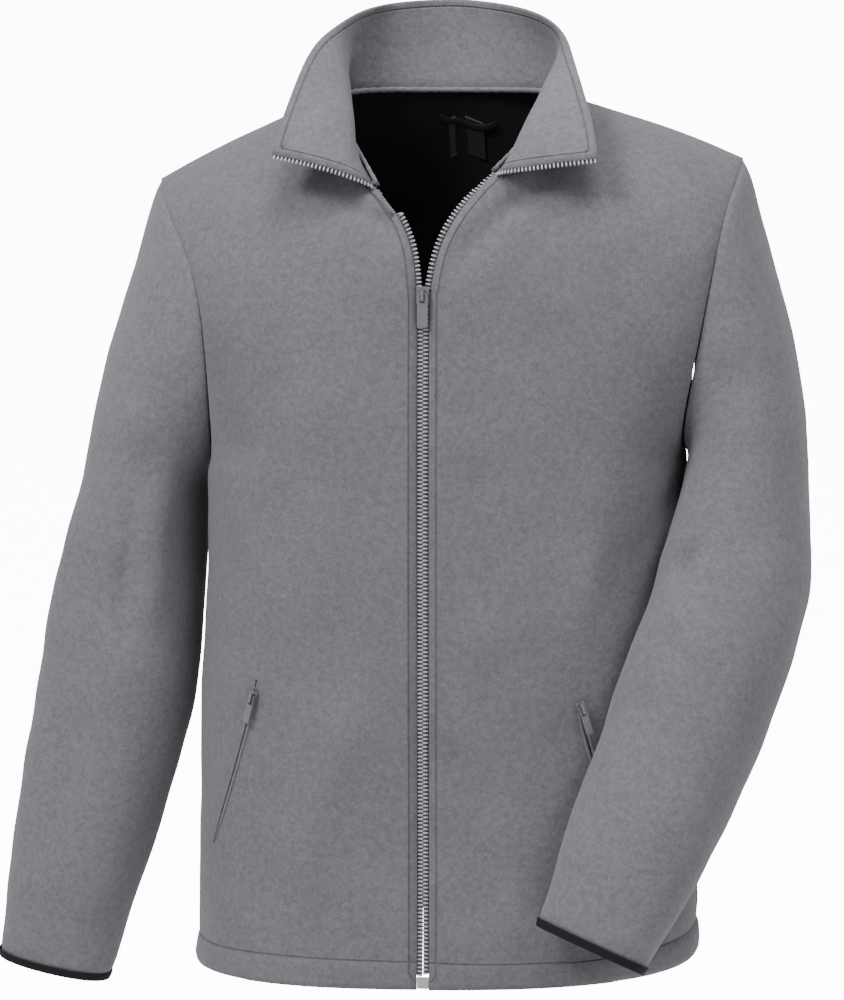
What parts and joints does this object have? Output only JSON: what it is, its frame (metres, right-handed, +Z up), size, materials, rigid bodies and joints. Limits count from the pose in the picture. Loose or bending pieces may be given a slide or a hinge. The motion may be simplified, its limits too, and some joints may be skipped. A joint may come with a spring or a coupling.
{
  "type": "jacket_fleece_zip",
  "caption": "Men's grey fleece jacket with a full-length zip, stand collar worn open, long sleeves with dark bound cuffs and two slanted zip pockets.",
  "frame": {"origin": "Middle of the shoulder line, between the two shoulder tips, where the wearer's shoulders carry the jacket.", "axes": "+Z up, -Y towards the front with the zip, +X towards the wearer's left arm. Modelled as it hangs on an upright wearer."},
  "size_m": [0.6843, 0.3085, 0.8252],
  "materials": {
    "body_fleece": "matte brushed fleece with a short nap",
    "sleeve_fleece": "matte brushed fleece with a short nap",
    "collar_fleece": "matte brushed fleece with a short nap",
    "cuff_binding": "matte knitted elastic binding",
    "zip_teeth": "satin moulded coil on woven tape",
    "pocket_zip": "matte woven tape with a hidden coil",
    "zip_metal": "satin enamelled metal",
    "neck_label": "satin woven label, bare",
    "hanger_tape": "matte woven tape"
  },
  "bodies": {
    "jacket": {"front_right": "body_fleece", "front_left": "body_fleece", "back": "body_fleece", "sleeve_right": "sleeve_fleece", "sleeve_left": "sleeve_fleece", "collar": "collar_fleece", "cuff_binding_right": "cuff_binding", "cuff_binding_left": "cuff_binding", "zip_tape_right": "zip_teeth", "zip_tape_left": "zip_teeth", "zip_collar_right": "zip_teeth", "zip_collar_left": "zip_teeth", "zip_box": "zip_teeth", "zip_slider": "zip_metal", "pocket_zip_right": "pocket_zip", "pocket_zip_left": "pocket_zip", "pocket_slider_right": "zip_metal", "pocket_slider_left": "zip_metal", "neck_label": "neck_label", "hanger_loop": "hanger_tape"},
    "main_pull": {"zip_pull": "zip_metal"},
    "right_pocket_pull": {"pocket_pull_right": "zip_metal"},
    "left_pocket_pull": {"pocket_pull_left": "zip_metal"}
  },
  "joints": [
    {"name": "main_pull_swing", "type": "hinge", "parent": "jacket", "child": "main_pull", "pos_m": [0, -0.12878, -0.1434], "axis": [-1, 0, 0], "range_deg": [0, 150]},
    {"name": "right_pocket_pull_swing", "type": "hinge", "parent": "jacket", "child": "right_pocket_pull", "pos_m": [-0.14239, -0.10808, -0.47166], "axis": [-0.8545, 0.4331, 0.2868], "range_deg": [0, 150]},
    {"name": "left_pocket_pull_swing", "type": "hinge", "parent": "jacket", "child": "left_pocket_pull", "pos_m": [0.12559, -0.11612, -0.47018], "axis": [-0.8698, -0.3929, -0.2985], "range_deg": [0, 150]}
  ]
}
